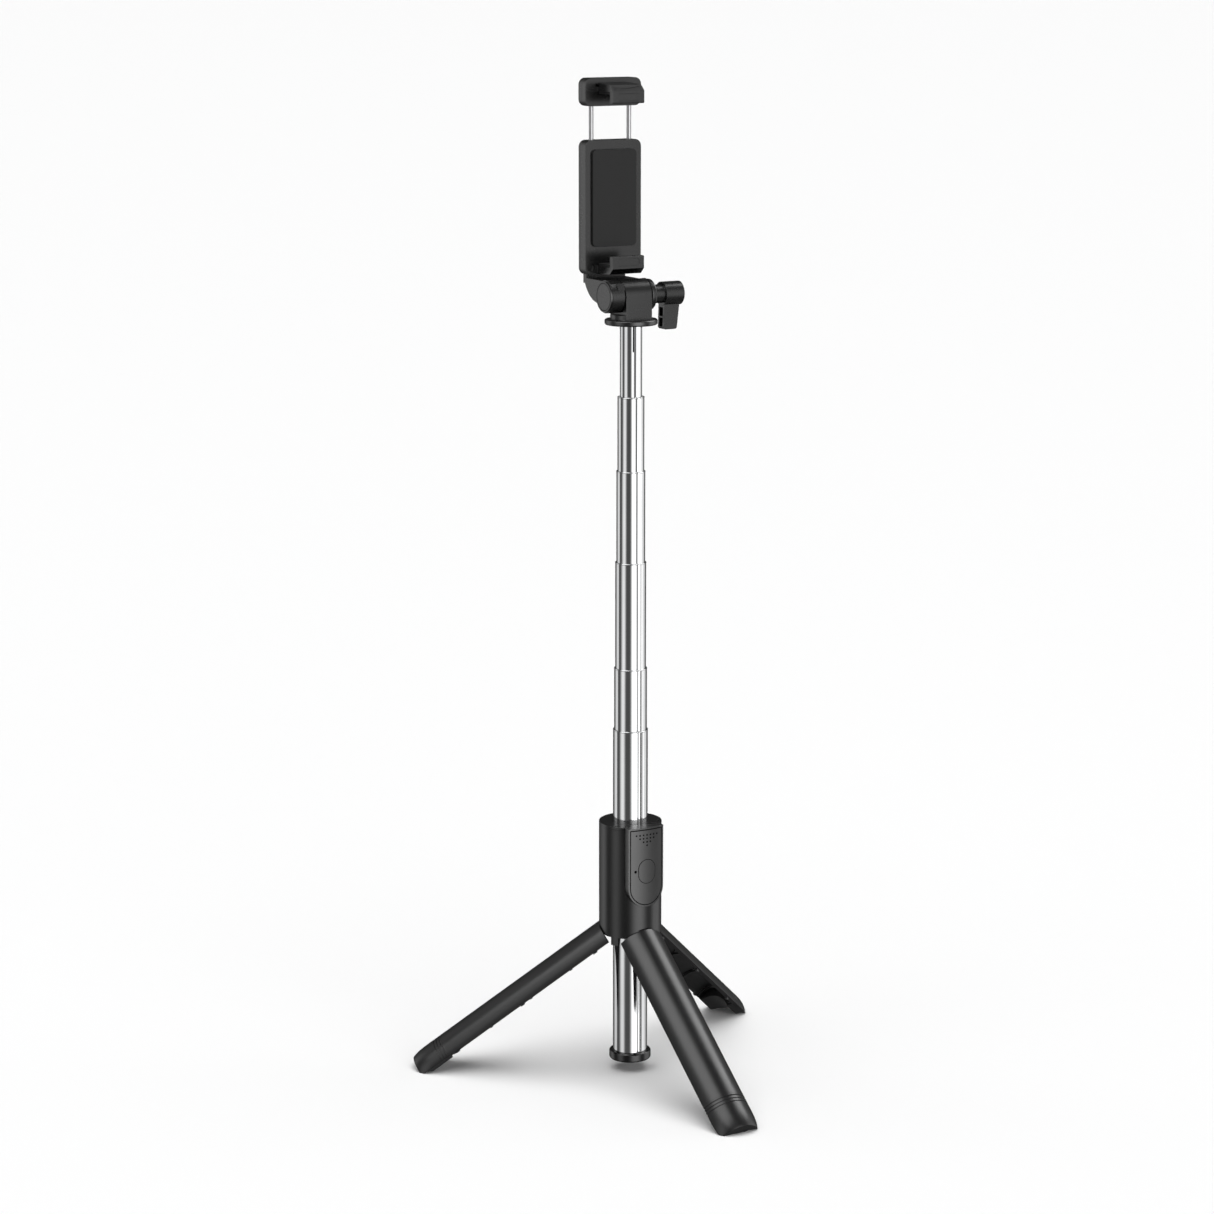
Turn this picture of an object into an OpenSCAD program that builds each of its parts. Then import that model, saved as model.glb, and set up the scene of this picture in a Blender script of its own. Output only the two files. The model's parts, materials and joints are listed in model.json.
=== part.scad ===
// Selfie stick with folding tripod legs, a telescopic pole, a tilting phone
// clamp and a detachable remote.
// Frame: +Z up along the pole, front is -Y, origin on the pole axis at the
// underside of the pole end cap. All lengths are in millimetres.

/* [Pole] */
// Outer diameter of the widest tube
pole_d = 15.2; // [14.6:0.1:15.4]
// Wall thickness of the pole tubes
tube_wall = 0.38; // [0.3:0.02:0.42]
// Diameter step from one tube to the next
tube_step_d = 0.92; // [0.9:0.02:1.0]
// Outer diameter of the thinnest tube
top_tube_d = 9.5; // [9.0:0.1:9.8]
// Height of the top of the widest tube
pole_top = 150; // [145:1:155]
// Visible length of tube 5
tube_5_out = 27.3; // [10:0.1:60]
// Visible length of tube 4
tube_4_out = 46.7; // [10:0.1:60]
// Visible length of tube 3
tube_3_out = 39.8; // [10:0.1:60]
// Visible length of tube 2
tube_2_out = 32; // [10:0.1:60]
// Visible length of tube 1, under the head
tube_1_out = 31.2; // [10:0.1:60]
// Depth of the anti-rotation groove
groove_depth = 0.45; // [0.3:0.05:0.5]

/* [Housing] */
// Diameter of the housing
housing_d = 27.5; // [27:0.1:28]
// Height of the housing's top face
housing_top = 109; // [108:0.5:110]
// Height of the lobes' lower tips
lobe_z = 55.3; // [55.2:0.1:56]

/* [Legs] */
// Angle of an open leg from the vertical
leg_open_angle = 53; // [48:1:56]
// Radius of the leg's outer surface
leg_r = 11; // [10.8:0.1:11.1]
// Wall thickness of the leg shell
leg_wall = 1.7; // [1.4:0.1:1.9]
// Length from the hinge pin to the end of the foot
leg_len = 104.4; // [98:0.2:104.4]
// Length of the rubber foot
foot_len = 14.4; // [12:0.2:16]

/* [Remote] */
// Width of the remote
remote_w = 17.5; // [17:0.1:17.6]
// Height of the lower end of the remote
remote_bottom = 73.3; // [73:0.1:76]
// Width of the shutter button
button_w = 8; // [7:0.5:9]
// Length of the shutter button
button_len = 10.5; // [9.5:0.5:11]

/* [Head] */
// Height of the tilt axis
tilt_z = 339.3; // [338.5:0.1:339.4]
// Radius of the tilt barrel
barrel_r = 7; // [6.6:0.1:7]
// Width of the head block
block_w = 12.6; // [12:0.1:12.8]
// Length of the lever below its axis
lever_len = 15.2; // [12:0.2:15.4]

/* [Clamp] */
// Width of the clamp frame
clamp_w = 27.2; // [26.8:0.2:28]
// Width of the two jaws
jaw_w = 15.3; // [14:0.1:16]
// Height of the lower jaw's gripping face
grip_z = 352; // [351.8:0.1:352.4]
// Opening of the jaws as shown
grip_gap = 71.4; // [68:0.2:80]

/* [Hidden] */
$fn = 96;

plastic = [0.09, 0.09, 0.1];
soft_plastic = [0.13, 0.13, 0.14];
steel = [0.78, 0.79, 0.8];
rubber = [0.05, 0.05, 0.05];
board = [0.08, 0.3, 0.16];
white_nylon = [0.85, 0.85, 0.82];

eps = 0.01;
running_gap = 0.06;

// Pole. Tube 6 is the widest, tube 1 the thinnest. The grooves share one centre
// line, so each tube's groove nests round the inward bump of the next tube out.
slot_half_w = 1;
groove_r6 = (slot_half_w * slot_half_w + groove_depth * groove_depth) / (2 * groove_depth);
groove_centre = pole_d / 2 - groove_depth + groove_r6;
function tube_r(k) = k == 1 ? top_tube_d / 2 : (pole_d - (6 - k) * tube_step_d) / 2;
function groove_r(k) = groove_centre + groove_depth - tube_r(k);
function tube_top(k) =
    k == 6 ? pole_top
    : k == 5 ? pole_top + tube_5_out
    : k == 4 ? tube_top(5) + tube_4_out
    : k == 3 ? tube_top(4) + tube_3_out
    : tube_top(3) + tube_2_out;
flange_z = tube_top(2) + tube_1_out;
socket_depth = 8;
cap_floor = 1.6;
cap_lip = 3.9;
cap_r = 9.2;
cap_plug_h = 5;
plug_h = 4;
plug_flange_h = 1.6;
tube_6_len = pole_top - cap_floor;
tube_len_step = 5;
tube_5_len = 142;
function tube_len(k) = k == 6 ? tube_6_len : tube_5_len - (5 - k) * tube_len_step;
top_tube_len = 128;
function tube_bottom(k) = k == 1 ? flange_z + socket_depth - top_tube_len : tube_top(k) - tube_len(k);

// Housing
housing_r = housing_d / 2;
top_cap_h = 1.4;
shell_top = housing_top - top_cap_h;
bush_r = 8.3;
bore_r = 7.95;
upper_bush_h = 6;
lower_bush_r = 8.9;
lower_bush_z = 63.4;
lower_bush_h = 2.8;
ring_r = 9.6;
ring_h = 4;
ring_z = lower_bush_z + lower_bush_h + 0.1;
chamber_r_in = 9.2;
chamber_r_out = 12.1;
chamber_z = ring_z + ring_h + 2;

// Remote, seen from the front as a slot with a round lower end
remote_front_y = -14.6;
remote_back_y = -8.9;
remote_split_y = -10;
face_r = 39;
remote_wall = 0.9;
remote_arc_z = remote_bottom + remote_w / 2;
pocket_gap = 0.1;
hook_w = 12;
hook_len = 0.7;
button_z = 89.3;
button_lip = 0.5;
button_inner_y = -12.9;
face_wall = 1.25;
led_x = -5.5;
dot_pitch_x = 1.7;
dot_pitch_z = 1.55;
dot_r = 0.33;
dot_rows = 4;
dot_apex_z = 101.1;
cell_r = 6.25;
cell_z = 82.5;
cell_front_y = -11.3;
cell_back_y = -9.7;
board_front_y = -12.1;
board_back_y = -11.4;

// Legs. In a leg's own frame X is outward from the hinge pin, Y runs along the
// pin and the leg hangs down -Z when it is folded.
leg_azimuths = [-90, 30, 150];
hinge_r = 10.1;
hinge_z = 60.8;
hinge_pin_r = 0.8;
knuckle_r = 2.1;
knuckle_w = 6.4;
knuckle_web_len = 14;
pin_len = 13;
leg_offset = housing_r - leg_r;
leg_centre = leg_offset - hinge_r;
leg_half_angle = 58;
tab_start = 1.7;
side_start = 2.2;
tab_w = 6.6;
end_gap = 0.18;
fold_steps = [0, 0.34, 0.67, 1];
floor_z = -5;
foot_core_r = 7.9;
foot_round = 7.2;
nose_len = 8;
nose_inset = 1.9;
peg_places = [10, 50, 86];
peg_shift = 3;
ring_groove_pitch = 1.5;

// Head
flange_r = 11.3;
flange_h = 2.4;
neck_r = 8.9;
neck_top = 331.5;
bolt_r = 2;
side_gap_head = 0.35;
barrel_end_x = -13.4;
barrel_x = -block_w / 2 - side_gap_head;
cap_disc_r = 5.8;
cap_disc_h = 0.7;
bolt_head_r = 3.6;
bolt_head_h = 2;
washer_x = block_w / 2 + side_gap_head;
washer_end = 9.2;
washer_r = 6.7;
stem_r = 4;
stem_x = 9.35;
hub_x = 14.7;
hub_end = 23.5;
hub_r = 5.1;
paddle_x = 14.6;
paddle_t = 4.8;
nut_flat = 7;
nut_x = 15.6;
nut_h = 3.2;
arm_w = 19.2;
arm_top = 345.2;
lobe_y = 10.6;
lobe_h = 9.8;
lobe_r = 13.8;
web_r = barrel_r + 0.6;
web_bottom = tilt_z + 1.7;

// Clamp
pivot_z = 387;
pivot_r = 1.95;
frame_front = 15.3;
frame_back = 21.3;
cover_front = 19.7;
frame_bottom = 347;
frame_top = 404;
frame_wall = 1.3;
plate_front = 21.7;
plate_back = 24.4;
lip_front = 2.3;
lip_back = 4.9;
lip_up = 3.7;
jaw_t = 3;
pad_t = 1;
grip_top = grip_z + grip_gap;
head_bottom = grip_top - 5.2;
head_top = grip_top + 6.6;
notch_r = 28;
notch_z = 2.5;
cover_split = 18.6;
rod_x = 9.2;
rod_r = 1;
rod_y = 18.1;
rod_bottom = 364;
rod_top = head_top - 4;
clip_r = 1.4;
clip_h = 1.2;
spring_r = 1.08;
wire_r = 0.2;
wire_sides = 6;
turn_steps = 16;
spring_turns = 10;
screw_x = 10.8;
screw_z = 350.2;
upper_screw_x = 3.6;
upper_screw_z = 398.5;
boss_r = 1.7;
screw_r = 0.8;

// ---- shared shapes ----

// Solid outline that fills tube k's bore, with a gap all round
module bore_outline(k, gap) {
    difference() {
        circle(tube_r(k) - tube_wall - gap);
        translate([0, -groove_centre]) circle(groove_r(k) + tube_wall + gap);
    }
}

module tube_outline(k) {
    difference() {
        circle(tube_r(k));
        translate([0, -groove_centre]) circle(groove_r(k));
        bore_outline(k, 0);
    }
}

module tube(k) {
    color(steel)
    translate([0, 0, tube_bottom(k)])
    linear_extrude(k == 1 ? top_tube_len : tube_len(k)) tube_outline(k);
}

// Plug pressed into the lower end of tube k; its rim runs in tube k + 1
module guide_plug(k) {
    color(white_nylon)
    translate([0, 0, tube_bottom(k)])
    difference() {
        union() {
            linear_extrude(plug_h) bore_outline(k, 0);
            translate([0, 0, -plug_flange_h]) linear_extrude(plug_flange_h) bore_outline(k + 1, running_gap);
        }
        translate([0, 0, -plug_flange_h - 1]) cylinder(r = 1.6, h = plug_h + plug_flange_h + 2);
    }
}

module ring(r_out, r_in, h) {
    difference() {
        cylinder(r = r_out, h = h);
        translate([0, 0, -1]) cylinder(r = r_in, h = h + 2);
    }
}

// Cylinder along X from x0 to x1
module bar_x(r, x0, x1) {
    translate([x0, 0, 0]) rotate([0, 90, 0]) cylinder(r = r, h = x1 - x0);
}

// Cylinder along Y from y0 to y1
module bar_y(r, y0, y1) {
    translate([0, y1, 0]) rotate([90, 0, 0]) cylinder(r = r, h = y1 - y0);
}

// Block between two corners
module block(low, high) {
    translate(low) cube(high - low);
}

// Rectangle centred on X with corners of radius r, from z0 to z1
module round_rect(w, z0, z1, r) {
    translate([-w / 2, z0 + r]) square([w, z1 - z0 - 2 * r]);
    translate([-w / 2 + r, z0]) square([w - 2 * r, z1 - z0]);
    for (x = [-w / 2 + r, w / 2 - r]) {
        for (z = [z0 + r, z1 - r]) {
            translate([x, z]) circle(r);
        }
    }
}

// Stands a 2D outline in the XZ plane up between two Y places
module wall_y(y0, y1) {
    translate([0, y1, 0]) rotate([90, 0, 0]) linear_extrude(y1 - y0) children();
}

// Slot outline of the remote, open at the top, inset all round
module remote_outline(inset, top) {
    r = remote_w / 2 - inset;
    translate([0, remote_arc_z]) circle(r);
    translate([-r, remote_arc_z]) square([2 * r, top - remote_arc_z]);
}

module button_outline(grow) {
    r = button_w / 2 + grow;
    reach = (button_len - button_w) / 2;
    for (z = [-reach, reach]) {
        translate([0, button_z + z]) circle(r);
    }
    translate([-r, button_z - reach]) square([2 * r, 2 * reach]);
}

// Body behind the remote's curved front surface
module front_limit(y) {
    translate([0, y + face_r, remote_bottom - 5])
    cylinder(r = face_r, h = housing_top - remote_bottom + 10, $fn = 200);
}

module leg_frame(azimuth, folded = 0) {
    rotate([0, 0, azimuth])
    translate([hinge_r, 0, hinge_z])
    rotate([0, -leg_open_angle * (1 - folded), 0])
    children();
}

// ---- pole ----

module tube_1_bush() {
    color(white_nylon)
    translate([0, 0, tube_top(2) - 6.5])
    linear_extrude(6.5)
    difference() {
        bore_outline(2, 0);
        difference() {
            circle(tube_r(1) + running_gap);
            translate([0, -groove_centre]) circle(groove_r(1) - running_gap);
        }
    }
}

module pole_end_cap() {
    color(plastic)
    difference() {
        union() {
            ring_profile(cap_r, cap_lip, 0.8);
            translate([0, 0, cap_floor]) linear_extrude(cap_plug_h) bore_outline(6, 0);
        }
        translate([0, 0, cap_floor])
        linear_extrude(cap_lip)
        difference() {
            circle(tube_r(6));
            translate([0, -groove_centre]) circle(groove_r(6));
            bore_outline(6, 0);
        }
        translate([0, 0, cap_floor]) cylinder(r = 5, h = cap_plug_h + 5);
    }
}

// Disc with rounded edges, standing on z = 0
module ring_profile(r, h, round) {
    rotate_extrude()
    union() {
        square([r - round, h]);
        translate([0, round]) square([r, h - 2 * round]);
        translate([r - round, round]) circle(round);
        translate([r - round, h - round]) circle(round);
    }
}

// ---- housing ----

module housing() {
    color(plastic)
    difference() {
        translate([0, 0, lobe_z]) cylinder(r = housing_r, h = shell_top - lobe_z);
        translate([0, 0, lobe_z - 1]) cylinder(r = bore_r, h = shell_top);
        translate([0, 0, lobe_z - 1]) cylinder(r = lower_bush_r, h = ring_z - lobe_z + 1);
        translate([0, 0, ring_z]) cylinder(r = ring_r, h = ring_h);
        translate([0, 0, housing_top - upper_bush_h]) cylinder(r = bush_r, h = upper_bush_h);
        housing_chamber();
        remote_pocket();
        for (azimuth = leg_azimuths) {
            leg_clearance(azimuth);
        }
    }
}

// Hollow behind the remote, open at the top, on the rear half only
module housing_chamber() {
    intersection() {
        translate([0, 0, chamber_z]) ring(chamber_r_out, chamber_r_in, shell_top + 5 - chamber_z);
        block([-20, -4, 0], [20, 20, 200]);
    }
}

module remote_pocket() {
    wall_y(-20, remote_back_y + pocket_gap) remote_outline(-pocket_gap, housing_top + 5);
    wall_y(remote_split_y + 0.2, remote_back_y + pocket_gap)
    intersection() {
        remote_outline(-hook_len - pocket_gap, housing_top + 5);
        translate([-hook_w / 2 - pocket_gap, 0]) square([hook_w + 2 * pocket_gap, remote_arc_z]);
    }
}

// Room for one leg at the ends and between the ends of its travel
module leg_clearance(azimuth) {
    side = leg_r - 0.1;
    tab = tab_w / 2 + 0.15;
    for (folded = fold_steps) {
        leg_frame(azimuth, folded) {
            block([-18, -side, -60], [20, side, end_gap - side_start]);
            block([0, -tab, -60], [20, tab, end_gap - tab_start]);
        }
    }
    rotate([0, 0, azimuth])
    block([7, -knuckle_w / 2 - 0.2, lobe_z - 1], [12.6, knuckle_w / 2 + 0.2, hinge_z + knuckle_r + 0.35]);
    rotate([0, 0, azimuth])
    translate([hinge_r, 0, hinge_z])
    bar_y(hinge_pin_r, -pin_len / 2, pin_len / 2);
}

module housing_top_cap() {
    color(plastic)
    difference() {
        translate([0, 0, shell_top]) cylinder(r = housing_r, h = top_cap_h);
        translate([0, 0, shell_top - 1]) cylinder(r = bush_r, h = top_cap_h + 2);
        wall_y(-20, remote_back_y + pocket_gap) remote_outline(-pocket_gap, housing_top + 5);
        for (side = [-1, 1]) {
            translate([side * 10.2, -6.6, housing_top])
            rotate([0, 0, side * 30])
            cube([2.4, 0.7, 1.6], center = true);
        }
    }
}

module upper_bush() {
    color(soft_plastic)
    translate([0, 0, housing_top - upper_bush_h])
    linear_extrude(upper_bush_h)
    difference() {
        circle(bush_r);
        difference() {
            circle(tube_r(6) + running_gap);
            translate([0, -groove_centre]) circle(groove_r(6) - running_gap);
        }
    }
}

module lower_bush() {
    color(soft_plastic)
    translate([0, 0, lower_bush_z]) ring(lower_bush_r, tube_r(6) + running_gap, lower_bush_h);
}

module friction_ring() {
    color(rubber)
    translate([0, 0, ring_z]) ring(ring_r, tube_r(6) + 0.03, ring_h);
}

module leg_hinge_pins() {
    color(steel)
    for (azimuth = leg_azimuths) {
        rotate([0, 0, azimuth])
        translate([hinge_r, 0, hinge_z])
        bar_y(hinge_pin_r, -pin_len / 2, pin_len / 2);
    }
}

// ---- legs ----

// Sector of the folded bundle that one leg may fill
module leg_sector() {
    reach = 40;
    translate([-hinge_r, 0])
    polygon([[0, 0],
             [reach * cos(leg_half_angle), -reach * sin(leg_half_angle)],
             [reach * 2, 0],
             [reach * cos(leg_half_angle), reach * sin(leg_half_angle)]]);
}

module leg_section() {
    intersection() {
        translate([leg_centre, 0])
        difference() {
            circle(leg_r);
            circle(leg_r - leg_wall);
        }
        leg_sector();
    }
}

module leg_body() {
    shell_len = leg_len - foot_len;
    difference() {
        union() {
            translate([0, 0, -shell_len]) linear_extrude(shell_len - side_start) leg_section();
            knuckle();
            leg_ribs(shell_len);
            leg_pegs();
        }
        bar_y(hinge_pin_r + running_gap, -10, 10);
        for (side = [-1, 1]) {
            translate([0, side * (tab_w / 2 + 1.6), 0]) bar_y(knuckle_r + 0.3, -1.55, 1.55);
        }
    }
}

// Hinge knuckle with the web that joins it to the shell
module knuckle() {
    bar_y(knuckle_r, -knuckle_w / 2, knuckle_w / 2);
    intersection() {
        union() {
            translate([leg_centre, 0, -knuckle_web_len])
            cylinder(r = leg_r, h = knuckle_web_len - tab_start);
            block([-knuckle_r, -10, -6], [knuckle_r, 10, 0]);
        }
        block([-knuckle_r, -knuckle_w / 2, -knuckle_web_len], [20, knuckle_w / 2, 0]);
    }
}

// Low cross ribs inside the channel
module leg_ribs(shell_len) {
    for (place = [24, 46, 68, shell_len - 1.6]) {
        translate([0, 0, -place])
        linear_extrude(1.2)
        intersection() {
            translate([leg_centre, 0])
            difference() {
                circle(leg_r - leg_wall + 0.2);
                circle(leg_r - leg_wall - 0.9);
            }
            leg_sector();
        }
    }
}

// Locating pegs along the two rims, staggered so that they pass their neighbours
module leg_pegs() {
    rim = leg_r - leg_wall / 2 - 0.1;
    rim_angle = 64;
    for (place = peg_places) {
        for (side = [-1, 1]) {
            translate([leg_centre, 0, peg_shift * (1 - side) / 2 - place])
            translate([rim * cos(rim_angle) - 0.7, side * rim * sin(rim_angle), 0])
            cube([2.4, 1.1, 2], center = true);
        }
    }
}

module leg(azimuth) {
    color(plastic) leg_frame(azimuth) leg_body();
}

// Rubber foot: rounded nose, hollow towards the pole, flat where it stands
module foot(azimuth) {
    nose = leg_len - foot_round;
    color(rubber)
    intersection() {
        leg_frame(azimuth)
        difference() {
            intersection() {
                translate([0, 0, -leg_len])
                linear_extrude(foot_len)
                intersection() {
                    translate([leg_centre, 0]) circle(leg_r);
                    leg_sector();
                }
                translate([leg_centre, 0, -leg_len]) rotate_extrude() nose_profile();
                union() {
                    block([-20, -20, -nose], [20, 20, 0]);
                    translate([leg_centre + leg_r - foot_round, 0, -nose]) bar_y(foot_round, -20, 20);
                    block([-20, -20, -leg_len], [leg_centre + leg_r - foot_round, 20, -nose + eps]);
                }
            }
            translate([-hinge_r, 0, -leg_len - 1]) cylinder(r = foot_core_r, h = foot_len + 2);
            foot_grooves();
        }
        block([-200, -200, floor_z], [200, 200, 60]);
    }
}

// Half outline of the foot's nose: the rim draws in towards the flat end
module nose_profile() {
    arc_r = (nose_len * nose_len + nose_inset * nose_inset) / (2 * nose_inset);
    intersection() {
        translate([leg_r - arc_r, nose_len]) circle(arc_r);
        square([leg_r, nose_len + eps]);
    }
    translate([0, nose_len]) square([leg_r, foot_len - nose_len + 1]);
}

// Three fine grooves round the root of the foot
module foot_grooves() {
    for (i = [0:2]) {
        translate([leg_centre, 0, -leg_len + foot_len - 1.2 - i * ring_groove_pitch])
        ring(leg_r + 1, leg_r - 0.3, 0.5);
    }
}

// ---- remote ----

module remote_face() {
    color(soft_plastic)
    difference() {
        intersection() {
            wall_y(-20, remote_split_y) remote_outline(0, housing_top);
            front_limit(remote_front_y);
        }
        intersection() {
            wall_y(-20, remote_split_y + 1) remote_outline(remote_wall, housing_top - remote_wall);
            front_limit(remote_front_y + face_wall);
        }
        face_groove();
        wall_y(-20, remote_split_y) button_outline(0.12);
        translate([led_x, 0, button_z + 0.3]) bar_y(0.6, -20, remote_split_y);
        speaker_dots();
    }
}

// Fine line that follows the edge of the face
module face_groove() {
    difference() {
        wall_y(-20, remote_split_y)
        difference() {
            remote_outline(0.75, housing_top - 0.75);
            remote_outline(1.1, housing_top - 1.1);
        }
        front_limit(remote_front_y + 0.3);
    }
}

// Triangle of blind dots, one at the bottom
module speaker_dots() {
    for (row = [0:dot_rows - 1]) {
        for (i = [-row:row]) {
            translate([i * dot_pitch_x, 0, dot_apex_z + row * dot_pitch_z])
            bar_y(dot_r, -20, remote_front_y + 0.8, $fn = 24);
        }
    }
}

module remote_back() {
    color(plastic)
    difference() {
        union() {
            wall_y(remote_split_y, remote_back_y) remote_outline(0, housing_top);
            wall_y(remote_split_y + 0.3, remote_back_y)
            intersection() {
                remote_outline(-hook_len, housing_top);
                translate([-hook_w / 2, 0]) square([hook_w, remote_arc_z]);
            }
        }
        wall_y(remote_split_y - 1, cell_back_y + 0.2) remote_outline(remote_wall, housing_top - remote_wall);
    }
}

module shutter_button() {
    color(soft_plastic)
    union() {
        intersection() {
            wall_y(-20, button_inner_y) button_outline(0);
            front_limit(remote_front_y - 0.12);
        }
        intersection() {
            wall_y(-20, button_inner_y) button_outline(button_lip);
            front_limit(remote_front_y + face_wall + 0.03);
        }
    }
}

module remote_board() {
    color(board)
    wall_y(board_front_y, board_back_y) remote_outline(remote_wall + 0.4, housing_top - 2);
}

module dome_switch() {
    color(steel)
    translate([0, 0, button_z]) bar_y(2.5, board_front_y - 0.4, board_front_y);
}

module coin_cell() {
    color(steel)
    translate([0, 0, cell_z]) bar_y(cell_r, cell_front_y, cell_back_y);
}

module battery_contact() {
    color(steel)
    difference() {
        wall_y(cell_back_y, cell_back_y + 0.2)
        union() {
            translate([0, cell_z]) circle(cell_r - 1);
            translate([-2, cell_z]) square([4, cell_r + 5]);
        }
        translate([0, 0, cell_z]) bar_y(2.6, cell_back_y - 1, cell_back_y + 1);
    }
}

module remote_led() {
    color(white_nylon)
    translate([led_x, 0, button_z + 0.3]) bar_y(0.5, remote_front_y + 0.45, board_front_y);
}

// ---- head ----

module head_base() {
    color(plastic)
    difference() {
        union() {
            translate([0, 0, flange_z]) ring_profile(flange_r, flange_h, 0.7);
            intersection() {
                translate([0, 0, flange_z]) cylinder(r = neck_r, h = neck_top - flange_z);
                block([-neck_r, -barrel_r + 0.3, flange_z], [neck_r, neck_r, neck_top]);
            }
            block([-block_w / 2, -barrel_r, flange_z + 0.5], [block_w / 2, barrel_r, tilt_z]);
            translate([0, 0, tilt_z]) bar_x(barrel_r, -block_w / 2, block_w / 2);
        }
        translate([0, 0, tilt_z]) bar_x(bolt_r + running_gap, -20, 20);
        translate([0, 0, flange_z - 1])
        linear_extrude(socket_depth + 1)
        difference() {
            circle(tube_r(1));
            translate([0, -groove_centre]) circle(groove_r(1));
        }
    }
}

// Side view of the arm: the barrel swept back and up to the clamp
module arm_side() {
    climb = atan2(lobe_h, lobe_y);
    swing = acos((barrel_r - lobe_r) / norm([lobe_y, lobe_h]));
    difference() {
        union() {
            translate([0, tilt_z]) circle(barrel_r);
            translate([lobe_y, tilt_z + lobe_h]) circle(lobe_r);
            translate([0, tilt_z])
            polygon([
                rim_point([0, 0], barrel_r, climb + swing),
                rim_point([0, 0], barrel_r, climb - swing),
                rim_point([lobe_y, lobe_h], lobe_r, climb - swing),
                rim_point([lobe_y, lobe_h], lobe_r, climb + swing),
            ]);
        }
        translate([-30, arm_top]) square([80, 40]);
    }
}

function rim_point(c, r, a) = c + (r - eps) * [cos(a), sin(a)];

module clamp_arm() {
    color(plastic)
    difference() {
        union() {
            translate([0, 0, tilt_z]) bar_x(barrel_r, barrel_end_x + 0.8, barrel_x);
            translate([0, 0, tilt_z]) bar_x(barrel_r - 0.5, barrel_end_x, barrel_x);
            translate([-arm_w / 2, 0, 0]) arm_slice(arm_w / 2 + barrel_x);
            intersection() {
                translate([-arm_w / 2, 0, 0]) arm_slice(arm_w);
                block([-20, 0, web_bottom], [20, 40, arm_top]);
            }
            wall_y(plate_front, plate_back) plate_outline();
        }
        translate([0, 0, tilt_z]) bar_x(web_r, barrel_x, 20);
        translate([0, 0, tilt_z]) bar_x(bolt_r, -20, 0);
        translate([0, 0, tilt_z]) bar_x(cap_disc_r, -20, barrel_end_x + cap_disc_h);
        translate([0, 0, tilt_z])
        rotate([0, 90, 0])
        translate([0, 0, barrel_end_x])
        cylinder(r = bolt_head_r, h = cap_disc_h + bolt_head_h, $fn = 6);
        translate([0, 0, pivot_z]) bar_y(pivot_r + running_gap, 0, 40);
    }
}

// The arm's side view, w wide along +X
module arm_slice(w) {
    rotate([90, 0, 90]) linear_extrude(w) arm_side();
}

// Rear plate that carries the rotation pivot
module plate_outline() {
    translate([0, pivot_z]) circle(arm_w / 2);
    translate([-arm_w / 2, web_bottom + 2]) square([arm_w, pivot_z - web_bottom - 2]);
}

module pivot_cap() {
    color(plastic)
    translate([0, 0, tilt_z]) bar_x(cap_disc_r, barrel_end_x, barrel_end_x + cap_disc_h);
}

module tilt_bolt() {
    head_x = barrel_end_x + cap_disc_h;
    color(steel)
    translate([0, 0, tilt_z])
    union() {
        rotate([0, 90, 0]) translate([0, 0, head_x]) cylinder(r = bolt_head_r, h = bolt_head_h, $fn = 6);
        bar_x(bolt_r, head_x, nut_x + nut_h + 1.5);
    }
}

module tilt_washer() {
    color(plastic)
    translate([washer_x, 0, tilt_z])
    rotate([0, 90, 0])
    difference() {
        ring_profile(washer_r, washer_end - washer_x, 0.7);
        translate([0, 0, -1]) cylinder(r = bolt_r, h = 10);
    }
}

module lock_lever() {
    color(plastic)
    translate([0, 0, tilt_z])
    difference() {
        union() {
            bar_x(stem_r, stem_x, hub_x + 1);
            bar_x(hub_r, hub_x, hub_end);
            lever_paddle();
        }
        bar_x(bolt_r + running_gap, 0, nut_x + nut_h + 2);
        rotate([0, 90, 0]) translate([0, 0, nut_x]) cylinder(d = nut_flat / cos(30), h = nut_h, $fn = 6);
        block([paddle_x - 1, -1.5, -lever_len + 1.1], [paddle_x + 3.4, 1.5, -10.3]);
        block([paddle_x - 1, -1.5, -9.6], [paddle_x + 3.4, 1.5, -5.8]);
    }
}

// Tapered thumb tab hanging below the hub
module lever_paddle() {
    top_w = hub_end - paddle_x - 0.6;
    end_w = top_w - 1.6;
    r = 1.2;
    wall_y(-paddle_t / 2, paddle_t / 2)
    union() {
        polygon([[paddle_x + 0.4, 0], [paddle_x, -lever_len + r], [paddle_x + r, -lever_len],
                 [paddle_x + end_w - r, -lever_len], [paddle_x + end_w, -lever_len + r],
                 [paddle_x + top_w, 0]]);
        translate([paddle_x + r, -lever_len + r]) circle(r);
        translate([paddle_x + end_w - r, -lever_len + r]) circle(r);
    }
}

module lever_nut() {
    color(steel)
    translate([nut_x, 0, tilt_z])
    rotate([0, 90, 0])
    difference() {
        cylinder(d = nut_flat / cos(30), h = nut_h, $fn = 6);
        translate([0, 0, -1]) cylinder(r = bolt_r + running_gap, h = nut_h + 2);
    }
}

// ---- clamp ----

module pivot_screw() {
    color(steel)
    translate([0, 0, pivot_z])
    union() {
        bar_y(pivot_r, cover_front, plate_back + 0.2);
        bar_y(3.4, plate_back + 0.1, plate_back + 1.6);
    }
}

module pivot_washer() {
    color(steel)
    translate([0, 0, pivot_z])
    difference() {
        bar_y(5, frame_back + 0.08, plate_front);
        bar_y(pivot_r + 0.1, 0, 40);
    }
}

// One jaw: shelf, lip and a slim chamfered root, seen from the side.
// z is the shelf's gripping side and up is +1 when the lip points up.
module jaw_side(z, up) {
    root = jaw_t + pad_t;
    polygon([[lip_front + 0.4, z + up * lip_up], [lip_back, z + up * lip_up],
             [lip_back, z - up * pad_t], [frame_front + eps, z - up * pad_t],
             [frame_front + eps, z - up * (root + 0.6)], [lip_front + 2.6, z - up * root],
             [lip_front, z - up * (pad_t + 0.6)], [lip_front, z + up * (lip_up - 0.4)]]);
}

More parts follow.
